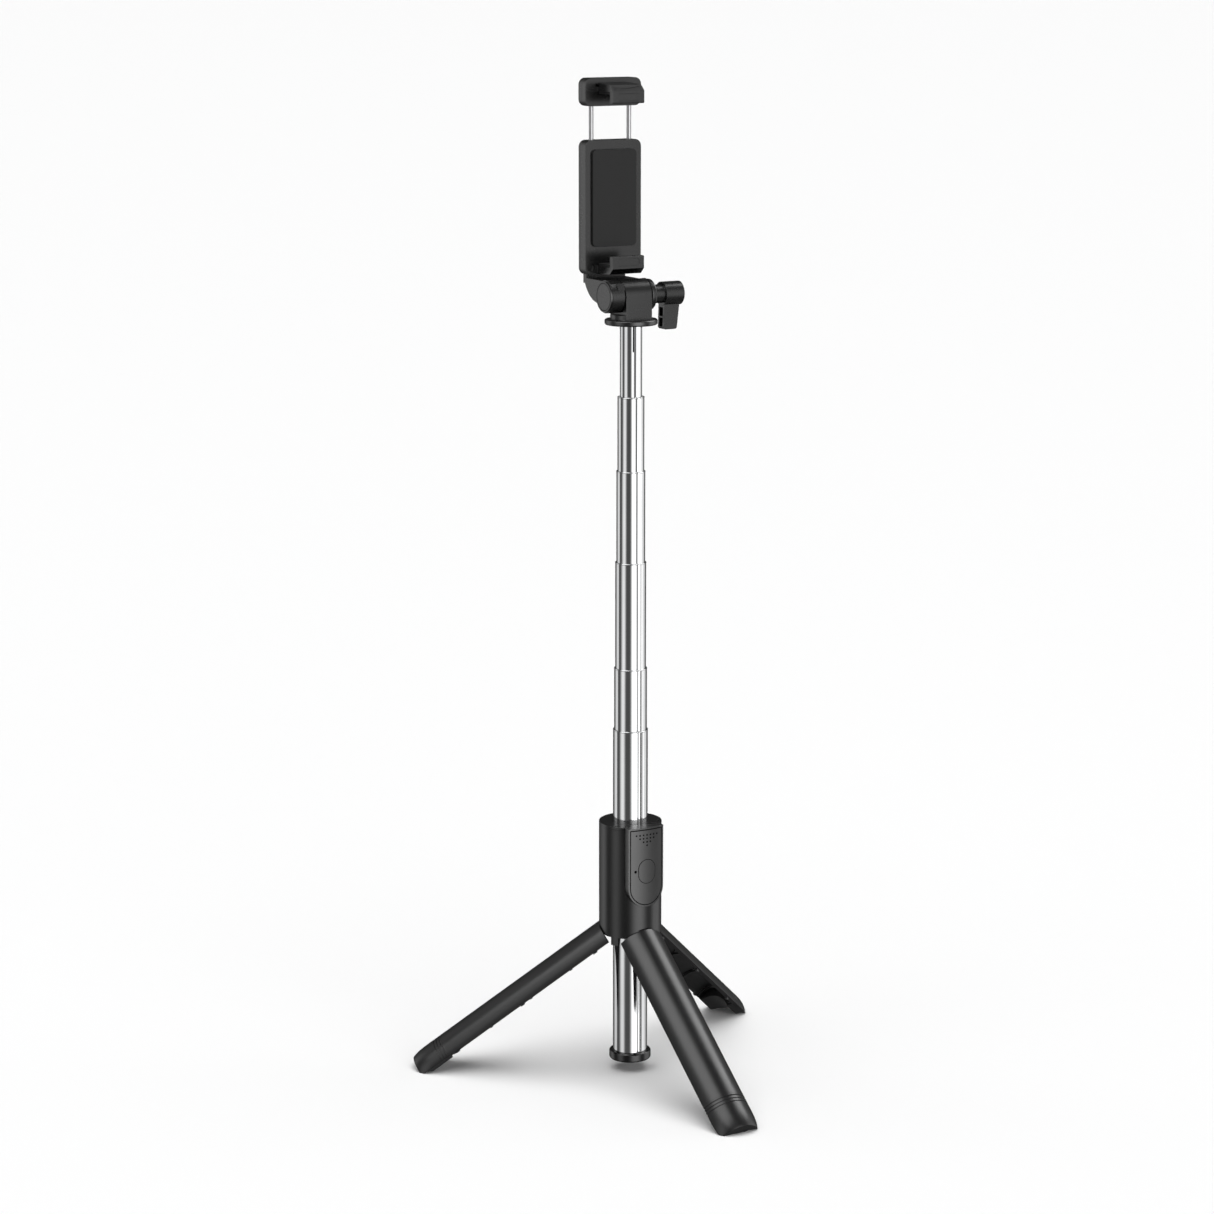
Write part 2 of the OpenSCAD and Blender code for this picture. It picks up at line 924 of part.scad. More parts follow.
module jaw(z, up) {
    difference() {
        translate([-jaw_w / 2, 0, 0]) rotate([90, 0, 90]) linear_extrude(jaw_w) jaw_side(z, up);
        wall_y(lip_front - 1, lip_front + 0.35)
        round_rect(jaw_w - 4.4, z - (up < 0 ? 2.6 : 0.4), z + (up < 0 ? 0.4 : 2.6), 0.9);
    }
}

module clamp_frame() {
    color(plastic)
    difference() {
        union() {
            wall_y(frame_front, cover_front) round_rect(clamp_w, frame_bottom, frame_top, 3);
            jaw(grip_z, 1);
        }
        difference() {
            block([-clamp_w / 2 + frame_wall, frame_front + frame_wall, frame_bottom + 6],
                  [clamp_w / 2 - frame_wall, cover_front + 1, frame_top - 1.6]);
            for (side = [-1, 1]) {
                translate([side * upper_screw_x, 0, upper_screw_z]) bar_y(boss_r, frame_front, cover_front);
            }
        }
        for (side = [-1, 1]) {
            translate([side * rod_x, rod_y, frame_top - 3]) cylinder(r = rod_r + running_gap, h = 5);
            translate([side * screw_x, 0, screw_z]) bar_y(1.8, frame_front - 1, frame_front + 1.2);
            translate([side * screw_x, 0, screw_z]) bar_y(screw_r, frame_front + 2, cover_front + 1);
            translate([side * upper_screw_x, 0, upper_screw_z])
            bar_y(screw_r, frame_front + 2, cover_front + 1);
        }
    }
}

module clamp_back_cover() {
    color(plastic)
    difference() {
        wall_y(cover_front, frame_back) round_rect(clamp_w, frame_bottom, frame_top, 3);
        translate([0, 0, pivot_z]) bar_y(pivot_r, cover_front - 1, frame_back + 1);
        screw_places() bar_y(screw_r, cover_front - 1, frame_back + 1);
        screw_places() bar_y(1.5, frame_back - 0.8, frame_back + 1);
    }
}

module screw_places() {
    for (side = [-1, 1]) {
        translate([side * screw_x, 0, screw_z]) children();
        translate([side * upper_screw_x, 0, upper_screw_z]) children();
    }
}

module clamp_screws() {
    color(steel)
    screw_places() {
        bar_y(screw_r, frame_front + 2.4, frame_back - 0.1);
        bar_y(1.5, frame_back - 0.8, frame_back - 0.1);
    }
}

module lower_jaw_pad() {
    color(rubber)
    block([-jaw_w / 2 + 0.6, lip_back, grip_z - pad_t], [jaw_w / 2 - 0.6, frame_front, grip_z]);
}

module back_pad() {
    color(rubber)
    wall_y(frame_front - 1.3, frame_front)
    round_rect(clamp_w - 6, frame_bottom + 12, frame_top - 4, 2);
}

module upper_jaw() {
    color(plastic)
    difference() {
        union() {
            wall_y(frame_front, cover_split) round_rect(clamp_w, head_bottom, head_top, 3);
            jaw(grip_top, -1);
        }
        translate([0, 0, grip_top + notch_z + notch_r]) bar_y(notch_r, lip_front - 1, lip_front + 2.6);
        rod_sockets();
        face_slot();
    }
}

module upper_jaw_cover() {
    color(plastic)
    difference() {
        wall_y(cover_split, frame_back) round_rect(clamp_w, head_bottom, head_top, 3);
        rod_sockets();
    }
}

module rod_sockets() {
    for (side = [-1, 1]) {
        translate([side * rod_x, rod_y, head_bottom - 1]) cylinder(r = rod_r, h = rod_top - head_bottom + 1);
    }
}

// Long shallow slot near the top of the upper jaw's front face
module face_slot() {
    block([-8.5, frame_front - 1, head_top - 3.7], [10, frame_front + 0.8, head_top - 2.7]);
}

module upper_jaw_pad() {
    color(rubber)
    block([-jaw_w / 2 + 0.6, lip_back, grip_top], [jaw_w / 2 - 0.6, frame_front, grip_top + pad_t]);
}

module guide_rods() {
    color(steel)
    for (side = [-1, 1]) {
        translate([side * rod_x, rod_y, rod_bottom]) cylinder(r = rod_r, h = rod_top - rod_bottom);
    }
}

module rod_clips() {
    color(steel)
    for (side = [-1, 1]) {
        translate([side * rod_x, rod_y, rod_bottom]) ring(clip_r, rod_r, clip_h);
    }
}

// Points of one ring of the wire, round the helix at the given angle
function wire_ring(angle, rise) = [
    for (i = [0:wire_sides - 1])
    let (
        side = 360 * i / wire_sides,
        r = spring_r + wire_r + wire_r * cos(side),
        z = rise * angle / 360 + wire_r * sin(side)
    )
    [r * cos(angle), r * sin(angle), z]
];

// Helical wire from z = 0 upward, rise per turn
module helix(rise, turns) {
    rings = turns * turn_steps;
    points = [for (k = [0:rings]) for (p = wire_ring(360 * k / turn_steps, rise)) p];
    sides = [
        for (k = [0:rings - 1])
        for (i = [0:wire_sides - 1])
        let (j = (i + 1) % wire_sides, a = k * wire_sides, b = a + wire_sides)
        each [[a + i, b + i, a + j], [a + j, b + i, b + j]]
    ];
    first_end = [for (i = [0:wire_sides - 1]) i];
    last_end = [for (i = [0:wire_sides - 1]) rings * wire_sides + wire_sides - 1 - i];
    polyhedron(points, concat(sides, [first_end, last_end]));
}

// Compression springs on the guide rods
module clamp_springs() {
    low = rod_bottom + clip_h + wire_r + 0.05;
    high = frame_top - 1.6 - wire_r - 0.05;
    color(steel)
    for (side = [-1, 1]) {
        translate([side * rod_x, rod_y, low]) helix((high - low) / spring_turns, spring_turns);
    }
}

tube(6);  // tube_6
tube(5);  // tube_5
tube(4);  // tube_4
tube(3);  // tube_3
tube(2);  // tube_2
tube(1);  // tube_1
guide_plug(5);  // guide_plug_5
guide_plug(4);  // guide_plug_4
guide_plug(3);  // guide_plug_3
guide_plug(2);  // guide_plug_2
guide_plug(1);  // guide_plug_1
tube_1_bush();
pole_end_cap();
housing();
housing_top_cap();
upper_bush();
lower_bush();
friction_ring();
leg_hinge_pins();
leg(leg_azimuths[0]);  // leg_front
leg(leg_azimuths[1]);  // leg_right
leg(leg_azimuths[2]);  // leg_left
foot(leg_azimuths[0]);  // foot_front
foot(leg_azimuths[1]);  // foot_right
foot(leg_azimuths[2]);  // foot_left
remote_face();
remote_back();
shutter_button();
remote_board();
dome_switch();
coin_cell();
battery_contact();
remote_led();
head_base();
clamp_arm();
pivot_cap();
tilt_bolt();
tilt_washer();
lock_lever();
lever_nut();
pivot_screw();
pivot_washer();
clamp_frame();
clamp_back_cover();
clamp_screws();
lower_jaw_pad();
back_pad();
upper_jaw();
upper_jaw_cover();
upper_jaw_pad();
guide_rods();
rod_clips();
clamp_springs();
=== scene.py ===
import json
import math

import bmesh
import bpy
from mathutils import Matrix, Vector


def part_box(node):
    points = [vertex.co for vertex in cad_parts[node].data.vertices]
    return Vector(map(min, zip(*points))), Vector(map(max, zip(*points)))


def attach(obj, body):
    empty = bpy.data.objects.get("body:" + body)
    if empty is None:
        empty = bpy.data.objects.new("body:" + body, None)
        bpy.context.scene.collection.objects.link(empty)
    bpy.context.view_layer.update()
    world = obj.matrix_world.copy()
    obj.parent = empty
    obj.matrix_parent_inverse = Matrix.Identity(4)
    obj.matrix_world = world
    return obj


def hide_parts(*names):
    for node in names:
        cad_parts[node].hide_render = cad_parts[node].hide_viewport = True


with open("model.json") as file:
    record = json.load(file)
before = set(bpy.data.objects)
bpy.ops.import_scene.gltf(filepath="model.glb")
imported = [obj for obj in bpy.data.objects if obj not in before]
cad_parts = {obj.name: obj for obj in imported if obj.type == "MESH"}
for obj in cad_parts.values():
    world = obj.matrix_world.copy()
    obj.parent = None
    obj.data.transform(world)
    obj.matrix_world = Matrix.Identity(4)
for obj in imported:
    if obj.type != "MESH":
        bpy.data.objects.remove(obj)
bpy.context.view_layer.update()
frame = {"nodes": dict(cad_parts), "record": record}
nodes = frame["nodes"]
MM = 0.001
FLOOR_Z = -5 * MM


# ---- camera ----

# Place in metres, turns in degrees, lens and sensor width in mm
CAMERA_PLACE = (-0.68125, -1.17996, 0.4845)
CAMERA_TURNS = (78.38, 0, -29.57)
CAMERA_LENS = 95.34
CAMERA_SENSOR = 36
CAMERA_NEAR = 0.01


def add_camera():
    data = bpy.data.cameras.new("camera")
    data.sensor_width = CAMERA_SENSOR
    data.lens = CAMERA_LENS
    data.clip_start = CAMERA_NEAR
    camera = bpy.data.objects.new("camera", data)
    camera.location = CAMERA_PLACE
    camera.rotation_euler = [math.radians(turn) for turn in CAMERA_TURNS]
    bpy.context.scene.collection.objects.link(camera)
    bpy.context.scene.camera = camera


# ---- shader helpers ----

def add(tree, kind, inputs=None, **settings):
    """A new shader node with its settings and its inputs, which are values or other sockets."""
    made = tree.nodes.new(kind)
    for key, value in settings.items():
        setattr(made, key, value)
    for key, value in (inputs or {}).items():
        if isinstance(value, bpy.types.NodeSocket):
            tree.links.new(value, made.inputs[key])
        else:
            made.inputs[key].default_value = value
    return made


def ramp(tree, factor, stops):
    """A linear colour ramp over (position, grey or rgb) stops."""
    made = add(tree, "ShaderNodeValToRGB", {"Fac": factor})
    elements = made.color_ramp.elements
    while len(elements) < len(stops):
        elements.new(1)
    for element, (position, colour) in zip(elements, stops):
        element.position = position
        rgb = (colour,) * 3 if isinstance(colour, (int, float)) else tuple(colour)
        element.color = (*rgb, 1)
    return made.outputs["Color"]


def spread(tree, factor, low, high):
    """The factor, 0 to 1, as a number from low to high."""
    inputs = {"Value": factor, "To Min": low, "To Max": high}
    return add(tree, "ShaderNodeMapRange", inputs).outputs["Result"]


def share_of(tree, value, low, high):
    """The value, from low to high, as a number from 0 to 1."""
    inputs = {"Value": value, "From Min": low, "From Max": high}
    return add(tree, "ShaderNodeMapRange", inputs).outputs["Result"]


def math_node(tree, operation, first, second):
    inputs = {0: first, 1: second}
    return add(tree, "ShaderNodeMath", inputs, operation=operation).outputs["Value"]


def mix(tree, factor, low, high):
    """Colour low where the factor is 0 and high where it is 1."""
    made = tree.nodes.new("ShaderNodeMix")
    made.data_type = "RGBA"
    colours = [socket for socket in made.inputs if socket.type == "RGBA"]
    for socket, value in zip([made.inputs["Factor"], *colours], [factor, low, high]):
        if isinstance(value, bpy.types.NodeSocket):
            tree.links.new(value, socket)
        else:
            socket.default_value = value
    return [socket for socket in made.outputs if socket.type == "RGBA"][0]


def noise(tree, where, scale, detail):
    inputs = {"Vector": where, "Scale": scale, "Detail": detail}
    return add(tree, "ShaderNodeTexNoise", inputs).outputs["Fac"]


def new_material(name):
    made = bpy.data.materials.new(name)
    made.use_nodes = True
    tree = made.node_tree
    shader = tree.nodes["Principled BSDF"]
    where = tree.nodes.new("ShaderNodeTexCoord").outputs["Object"]
    return made, tree, shader, where


# Where the cloud noise gives the darker and the lighter tint
CLOUD_LOW = 0.3
CLOUD_HIGH = 0.7
# Plastics: refraction, softened edge in mm, fineness of the clouds, their darker and lighter tint,
# and how far clouds and grain change the roughness
PLASTIC_IOR = 1.55
PLASTIC_EDGE = 0.15
PLASTIC_CLOUD = 70
PLASTIC_TINTS = (0.86, 1.14)
PATCH = 0.04
SPECK = 0.06


def cloudy(tree, cloud, colour, tints):
    """The colour, a little darker where the cloud noise is low and lighter where it is high."""
    darker, lighter = tints
    low = [channel * darker for channel in colour]
    high = [min(channel * lighter, 1) for channel in colour]
    return ramp(tree, cloud, [(CLOUD_LOW, low), (CLOUD_HIGH, high)])


def relief(tree, shader, height, strength, depth, edge):
    """Gives the shader its fine relief, depth mm deep, and edges softened to edge mm."""
    soft = add(tree, "ShaderNodeBevel", {"Radius": edge * MM}, samples=4).outputs["Normal"]
    inputs = {"Height": height, "Strength": strength, "Distance": depth * MM, "Normal": soft}
    bump = add(tree, "ShaderNodeBump", inputs)
    tree.links.new(bump.outputs["Normal"], shader.inputs["Normal"])


def moulded(name, colour, rough, specular=0.6, grain=2200, grain_depth=0.004):
    """Moulded plastic or rubber: uneven tint, spark-eroded grain and softened edges."""
    made, tree, shader, where = new_material(name)
    colour = (colour,) * 3 if isinstance(colour, float) else colour
    cloud = noise(tree, where, PLASTIC_CLOUD, 4)
    fine = noise(tree, where, grain, 3)
    tree.links.new(cloudy(tree, cloud, colour, PLASTIC_TINTS), shader.inputs["Base Color"])
    patch = spread(tree, cloud, rough - PATCH, rough + PATCH)
    speck = add(tree, "ShaderNodeMath", {0: fine, 1: SPECK, 2: patch}, operation="MULTIPLY_ADD")
    tree.links.new(speck.outputs["Value"], shader.inputs["Roughness"])
    shader.inputs["Specular IOR Level"].default_value = specular
    shader.inputs["IOR"].default_value = PLASTIC_IOR
    relief(tree, shader, fine, 1.0, grain_depth, PLASTIC_EDGE)
    return made


HOUSING_R = 13.75
# How much a facet of the wall may lie inside the true cylinder, in mm, and how squarely it faces out
WALL_SAG = 0.08
WALL_FACING = 0.97


def round_wall(made, r):
    """Shades the facets of an upright wall of radius r round the pole as a true cylinder."""
    tree = made.node_tree
    bump = next(n for n in tree.nodes if n.bl_idname == "ShaderNodeBump")
    spot = tree.nodes.new("ShaderNodeNewGeometry").outputs
    vector = "ShaderNodeVectorMath"
    level_only = {0: spot["Position"], 1: (1, 1, 0)}
    flat = add(tree, vector, level_only, operation="MULTIPLY").outputs["Vector"]
    reach = add(tree, vector, {0: flat}, operation="LENGTH").outputs["Value"]
    outward = add(tree, vector, {0: flat}, operation="NORMALIZE").outputs["Vector"]
    normals = {0: outward, 1: spot["True Normal"]}
    facing = add(tree, vector, normals, operation="DOT_PRODUCT").outputs["Value"]
    near = math_node(tree, "GREATER_THAN", reach, (r - WALL_SAG) * MM)
    level = math_node(tree, "GREATER_THAN", facing, WALL_FACING)
    both = math_node(tree, "MULTIPLY", near, level)
    blend = tree.nodes.new("ShaderNodeMix")
    blend.data_type = "VECTOR"
    vectors = [socket for socket in blend.inputs if socket.type == "VECTOR" and socket.enabled]
    tree.links.new(both, blend.inputs["Factor"])
    tree.links.new(bump.inputs["Normal"].links[0].from_socket, vectors[-2])
    tree.links.new(outward, vectors[-1])
    blended = [socket for socket in blend.outputs if socket.type == "VECTOR"][0]
    tree.links.new(blended, bump.inputs["Normal"])


# Steel: fineness, stretch, strength and depth in mm of the streaks, fineness of the clouds,
# their tints, and the softened edge in mm
STREAK_SCALE = 2600
STREAK_STRETCH = (1, 1, 0.02)
STREAK_STRENGTH = 0.6
STREAK_DEPTH = 0.0006
STEEL_CLOUD = 45
STEEL_TINTS = (0.95, 1.04)
STEEL_EDGE = 0.05


def steel(name, colour, rough, streak=0.03):
    """Drawn or plated steel: fine streaks along the pole and a slight cloudiness."""
    made, tree, shader, where = new_material(name)
    stretched = {"Vector": where, "Scale": STREAK_STRETCH}
    along = add(tree, "ShaderNodeMapping", stretched).outputs["Vector"]
    lines = noise(tree, along, STREAK_SCALE, 3)
    cloud = noise(tree, where, STEEL_CLOUD, 3)
    tree.links.new(cloudy(tree, cloud, colour, STEEL_TINTS), shader.inputs["Base Color"])
    shader.inputs["Metallic"].default_value = 1.0
    tree.links.new(spread(tree, lines, rough - streak, rough + streak), shader.inputs["Roughness"])
    relief(tree, shader, lines, STREAK_STRENGTH, STREAK_DEPTH, STEEL_EDGE)
    return made


MATERIALS = {
    "pole_steel": steel("drawn_steel", (0.66, 0.665, 0.67), 0.10),
    "plain_steel": steel("plated_steel", (0.50, 0.50, 0.51), 0.3, 0.06),
    "housing_black": moulded("grip_plastic", 0.0040, 0.27),
    "leg_black": moulded("leg_plastic", 0.0045, 0.30),
    "head_black": moulded("head_plastic", 0.0050, 0.25, 0.75, 1800, 0.005),
    "clamp_black": moulded("clamp_plastic", 0.0035, 0.23, 0.75),
    "black_plastic": moulded("cap_plastic", 0.0030, 0.22),
    "bush_black": moulded("bush_acetal", 0.004, 0.32),
    "remote_black": moulded("soft_touch", 0.0070, 0.33, 1.0, 2600),
    "soft_rubber": moulded("silicone", 0.0060, 0.6, 0.4, 1500, 0.01),
    "foot_rubber": moulded("foot_rubber", 0.0040, 0.30, 0.6, 1600, 0.005),
    "white_nylon": moulded("nylon", 0.70, 0.45, 0.5),
    "circuit_board": moulded("solder_mask", (0.02, 0.11, 0.05), 0.3, 0.5),
    "led_lens": moulded("lens", 0.004, 0.12),
    # Near black for the painted shade in slits, grooves, gaps and holes, also used for the remote's dark
    # dots
    "shadow": moulded("painted_shade_black", 0.0008, 0.6, 0.08),
}
round_wall(MATERIALS["housing_black"], HOUSING_R)


def paint_nodes():
    for part in frame["record"]["subparts"]:
        piece = nodes[part["node"]]
        piece.data.materials.clear()
        piece.data.materials.append(MATERIALS[part["material_slot"]])


# Width in mm of the moulded edges of each CAD node that shows
EDGES = {
    "housing": 0.35, "housing_top_cap": 0.35, "leg_front": 0.3, "leg_right": 0.3, "leg_left": 0.3,
    "head_base": 0.4, "clamp_arm": 0.35, "pivot_cap": 0.2, "tilt_washer": 0.25, "lock_lever": 0.45,
    "clamp_frame": 0.45, "clamp_back_cover": 0.4, "upper_jaw": 0.45, "upper_jaw_cover": 0.4,
    "pole_end_cap": 0.3,
}
WELD_GAP = 1e-6
# Degrees under which faces count as flat, and over which an edge of a CAD node or a foot is rounded
FLAT_ANGLE = 0.6
CAD_EDGE_ANGLE = 32
FOOT_EDGE_ANGLE = 40


def round_edges(piece, width, angle):
    """A bevel width mm wide on the edges sharper than angle degrees."""
    bevel = piece.modifiers.new("edge", "BEVEL")
    bevel.width = width * MM
    bevel.segments = 3
    bevel.limit_method = "ANGLE"
    bevel.angle_limit = math.radians(angle)
    return bevel


def soften(piece, width):
    """Rounds the sharp edges of a CAD node with modifiers alone."""
    weld = piece.modifiers.new("weld", "WELD")
    weld.merge_threshold = WELD_GAP
    flat = piece.modifiers.new("flat", "DECIMATE")
    flat.decimate_type = "DISSOLVE"
    flat.angle_limit = math.radians(FLAT_ANGLE)
    bevel = round_edges(piece, width, CAD_EDGE_ANGLE)
    bevel.use_clamp_overlap = True
    bevel.miter_outer = "MITER_ARC"
    shade = piece.modifiers.new("shade", "WEIGHTED_NORMAL")
    shade.keep_sharp = False


def soften_nodes():
    for name, width in EDGES.items():
        soften(nodes[name], width)


# ---- pole details ----

# The lowest tube's number and radius, and how much smaller each next one is, in mm
LOWEST_TUBE = 6
POLE_R = 7.6
STEP_R = 0.46
# The lowest tube's groove: its depth, its own radius, and how far in front its middle lies
GROOVE_DEPTH = 0.45
GROOVE_R = 1.336
GROOVE_Y = POLE_R - GROOVE_DEPTH + GROOVE_R
OUTLINE_POINTS = 180


def pole_outline(r):
    """Outline of a grooved tube of radius r, in mm. The groove is on the front."""
    groove = GROOVE_Y + GROOVE_DEPTH - r
    points = []
    for i in range(OUTLINE_POINTS):
        turn = 2 * math.pi * i / OUTLINE_POINTS
        side = GROOVE_Y * math.sin(turn)
        reach = r
        if math.cos(turn) > 0 and abs(side) < groove:
            reach = min(r, GROOVE_Y * math.cos(turn) - math.sqrt(groove * groove - side * side))
        points.append((reach * math.sin(turn), -reach * math.cos(turn)))
    return points


def ring_faces(first, second, count):
    """Faces between two closed rings of count vertices that start at those numbers."""
    faces = []
    for i in range(count):
        n = (i + 1) % count
        faces.append((first + i, first + n, second + n, second + i))
    return faces


def mesh_object(name, verts, faces, body, material):
    """A piece made from vertices in mm, riding on a body."""
    mesh = bpy.data.meshes.new(name)
    mesh.from_pydata([Vector(v) * MM for v in verts], [], faces)
    mesh.validate()
    shape = bmesh.new()
    shape.from_mesh(mesh)
    bmesh.ops.recalc_face_normals(shape, faces=shape.faces)
    shape.to_mesh(mesh)
    shape.free()
    mesh.shade_smooth()
    made = bpy.data.objects.new(name, mesh)
    bpy.context.scene.collection.objects.link(made)
    mesh.materials.append(material)
    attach(made, body)
    return made


# Half the lip's width and height in mm, how far its middle lies inside the tube's surface,
# and how square it is
LIP_HALF_WIDTH = 0.25
LIP_HALF_HEIGHT = 0.3
LIP_INSET = 0.19
LIP_SQUARENESS = 0.7
LIP_POINTS = 14


def squared(value):
    """A sine or cosine pushed outwards, so that the oval it draws is squarer."""
    return math.copysign(abs(value) ** LIP_SQUARENESS, value)


def rolled_lip(name, r, top, body):
    """The rolled mouth of a tube: a rounded rim that stands a little proud of it."""
    verts, faces = [], []
    for j in range(LIP_POINTS):
        a = 2 * math.pi * j / LIP_POINTS
        offset = LIP_HALF_WIDTH * squared(math.cos(a)) - LIP_INSET
        z = top + LIP_HALF_HEIGHT * squared(math.sin(a))
        verts += [(x, y, z) for x, y in pole_outline(r + offset)]
        after = (j + 1) % LIP_POINTS
        faces += ring_faces(j * OUTLINE_POINTS, after * OUTLINE_POINTS, OUTLINE_POINTS)
    mesh_object(name, verts, faces, body, MATERIALS["pole_steel"])


def add_lips():
    bodies = ["pole", "section_5", "section_4", "section_3", "section_2"]
    for i, body in enumerate(bodies):
        tube = f"tube_{LOWEST_TUBE - i}"
        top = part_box(tube)[1].z / MM
        rolled_lip(tube + "_lip", POLE_R - i * STEP_R, top, body)


# The thinnest tube's radius, the slit's ends in mm, its place round the tube in degrees,
# and how far it stands out
THIN_R = 4.75
SLIT_LOW = 315.6
SLIT_HIGH = 326.6
SLIT_START = -21
SLIT_SPAN = 7
SLIT_STEPS = 4
SLIT_LIFT = 0.03
# How deep the thin dark pieces are sunk under the surface they mark, in mm
SUNK = 0.1


def painted_slit_shade():
    """Painted shade in the end of the groove's slit on the thinnest tube, just under the head: a thin
    dark piece.
    """
    verts, faces = [], []
    for z in (SLIT_LOW, SLIT_HIGH):
        for reach in (THIN_R + SLIT_LIFT, THIN_R - SUNK):
            for i in range(SLIT_STEPS + 1):
                turn = math.radians(SLIT_START + SLIT_SPAN * i / SLIT_STEPS)
                verts.append((reach * math.sin(turn), -reach * math.cos(turn), z))
    # Four rows of vertices: outside and inside at the low end, then at the high end
    low_in, high_out, high_in = [row * (SLIT_STEPS + 1) for row in (1, 2, 3)]
    for i in range(SLIT_STEPS):
        n = i + 1
        faces += [(i, n, high_out + n, high_out + i), (low_in + n, low_in + i, high_in + i, high_in + n)]
        faces += [(i, low_in + i, low_in + n, n), (high_out + i, high_out + n, high_in + n, high_in + i)]
    for i in (0, SLIT_STEPS):
        faces.append((i, high_out + i, high_in + i, low_in + i))
    mesh_object("tube_1_slit_painted_shade", verts, faces, "section_1", MATERIALS["shadow"])


# ---- feet ----

# The leg's hinge, and how far it is opened at rest
HINGE_R = 10.1
HINGE_Z = 60.8
OPEN = math.radians(53)
# The foot's ends and the length of its rounded nose, along the leg from the hinge
FOOT_START = 90
FOOT_END = 106
NOSE = 7.5
# How far the nose draws in at the crown and at the sides, the share of a quarter round that it follows,
# and the drop of that quarter round there
CROWN_DROP = 0.9
SIDE_INSET = 1.6
NOSE_SHARE = 0.9
NOSE_DROP = 0.564
# The round outside and the round hollow, each with the angle of its edge from the middle
SHELL_R = 11
SHELL_CENTRE = -7.35
SHELL_EDGE = math.radians(70.2)
SHELL_STEPS = 20
HOLLOW_R = 7.9
HOLLOW_EDGE = math.radians(58)
HOLLOW_STEPS = 10
# The three grooves round the foot
GROOVES = (90.7, 92.2, 93.7)
GROOVE_WIDTH = 0.5
GROOVE_CUT = 0.3
GROOVE_WALL = 0.02
# Where the plain stretch behind the nose gets one more section, and the nose's number of them
FOOT_MIDDLE = 95.5
NOSE_STEPS = 16
FOOT_BEVEL = 0.6


def foot_section(s):
    """Closed outline of the foot at s mm from the hinge, as places outward and sideways."""
    t = max(0, NOSE_SHARE * (s - FOOT_END + NOSE) / NOSE)
    draw = (1 - math.sqrt(1 - t * t)) / NOSE_DROP
    r = SHELL_R - GROOVE_CUT * any(g < s < g + GROOVE_WIDTH for g in GROOVES)
    narrow = 1 - draw * SIDE_INSET / SHELL_R
    points = []
    for i in range(2 * SHELL_STEPS + 1):
        a = SHELL_EDGE * (i / SHELL_STEPS - 1)
        crown = (math.cos(a) - math.cos(SHELL_EDGE)) / (1 - math.cos(SHELL_EDGE))
        outward = SHELL_CENTRE + r * math.cos(a) - CROWN_DROP * draw * crown
        points.append((outward, r * math.sin(a) * narrow))
    for i in range(2 * HOLLOW_STEPS + 1):
        a = HOLLOW_EDGE * (1 - i / HOLLOW_STEPS)
        points.append((-HINGE_R + HOLLOW_R * math.cos(a), HOLLOW_R * math.sin(a) * narrow))
    return points


def moulded_foot(node, azimuth, body):
    """The smooth dome of a foot, flat at its end, in place of the CAD node."""
    turn = math.radians(azimuth)
    out = Vector((math.cos(turn), math.sin(turn), 0))
    side = Vector((-math.sin(turn), math.cos(turn), 0))
    up = Vector((0, 0, 1))
    depth = math.sin(OPEN) * out - math.cos(OPEN) * up
    face = math.cos(OPEN) * out + math.sin(OPEN) * up
    places = [FOOT_START]
    for g in GROOVES:
        for wall in (g, g + GROOVE_WIDTH):
            places += [wall - GROOVE_WALL, wall + GROOVE_WALL]
    places += [FOOT_MIDDLE]
    places += [FOOT_END - NOSE * (1 - i / NOSE_STEPS) for i in range(NOSE_STEPS + 1)]
    verts, faces = [], []
    for s in places:
        for x, y in foot_section(s):
            p = HINGE_R * out + HINGE_Z * up + x * face + y * side + s * depth
            p.z = max(p.z, FLOOR_Z / MM)
            verts.append(p)
    count = len(foot_section(FOOT_START))
    last = (len(places) - 1) * count
    for first in range(0, last, count):
        faces += ring_faces(first, first + count, count)
    faces += [tuple(range(count)), tuple(last + i for i in reversed(range(count)))]
    made = mesh_object(node + "_moulded", verts, faces, body, MATERIALS["foot_rubber"])
    round_edges(made, FOOT_BEVEL, FOOT_EDGE_ANGLE)
    made.modifiers.new("shade", "WEIGHTED_NORMAL")
    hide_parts(node)


def add_feet():
    for name, azimuth in (("front", -90), ("right", 30), ("left", 150)):
        moulded_foot("foot_" + name, azimuth, "leg_" + name)


# ---- remote details ----

# The remote's curved face: its foremost place and its radius
FACE_Y = -14.6
FACE_R = 39
# The remote's half width, the middle of its round lower end, and its top
REMOTE_R = 8.75
REMOTE_ARC_Z = 82.05
REMOTE_TOP = 109
# How far the line along the edge lies inside it, at the sides and at the top, and its width
EDGE_LINE_INSET = 0.95
EDGE_LINE_DROP = 1
EDGE_LINE_WIDTH = 0.36
# The oval button's middle, radius and half the length of its straight sides, and the gap's width
BUTTON_Z = 89.3
BUTTON_R = 4.1
BUTTON_HALF_LENGTH = 1.25
BUTTON_LINE_WIDTH = 0.3
# The indicator's hole as (x, height over the button's middle, radius)
HOLE = (-5.5, 0.3, 0.5)
# The triangle of dots: its rows, the lowest one's height, the steps up and across, and a dot's radius
DOT_ROWS = 4
DOT_LOW = 101.1
DOT_RISE = 1.55
DOT_STEP = 1.7
DOT_R = 0.4
# How far the dark lines and dots stand out of the face
MARK_LIFT = 0.02
# Points round a disc, and steps along the round ends, the flat top and the sides of a line
DISC_POINTS = 16
ARC_STEPS = 24
TOP_STEPS = 12
SIDE_STEPS = 8


def on_face(x, z, lift):
    """A point that far in front of the remote's curved face."""
    return (x, FACE_Y - lift + FACE_R - math.sqrt(FACE_R * FACE_R - x * x), z)


def lower_arc(r, low):
    """The round lower end of a slot, from right to left, with its middle at low."""
    turns = [math.pi * i / ARC_STEPS for i in range(ARC_STEPS + 1)]
    return [(r * math.cos(turn), low - r * math.sin(turn)) for turn in turns]


def oval_path(r, low, high):
    """Closed path round a slot with two round ends."""
    lower = lower_arc(r, low)
    return lower + [(-x, high + low - z) for x, z in lower]


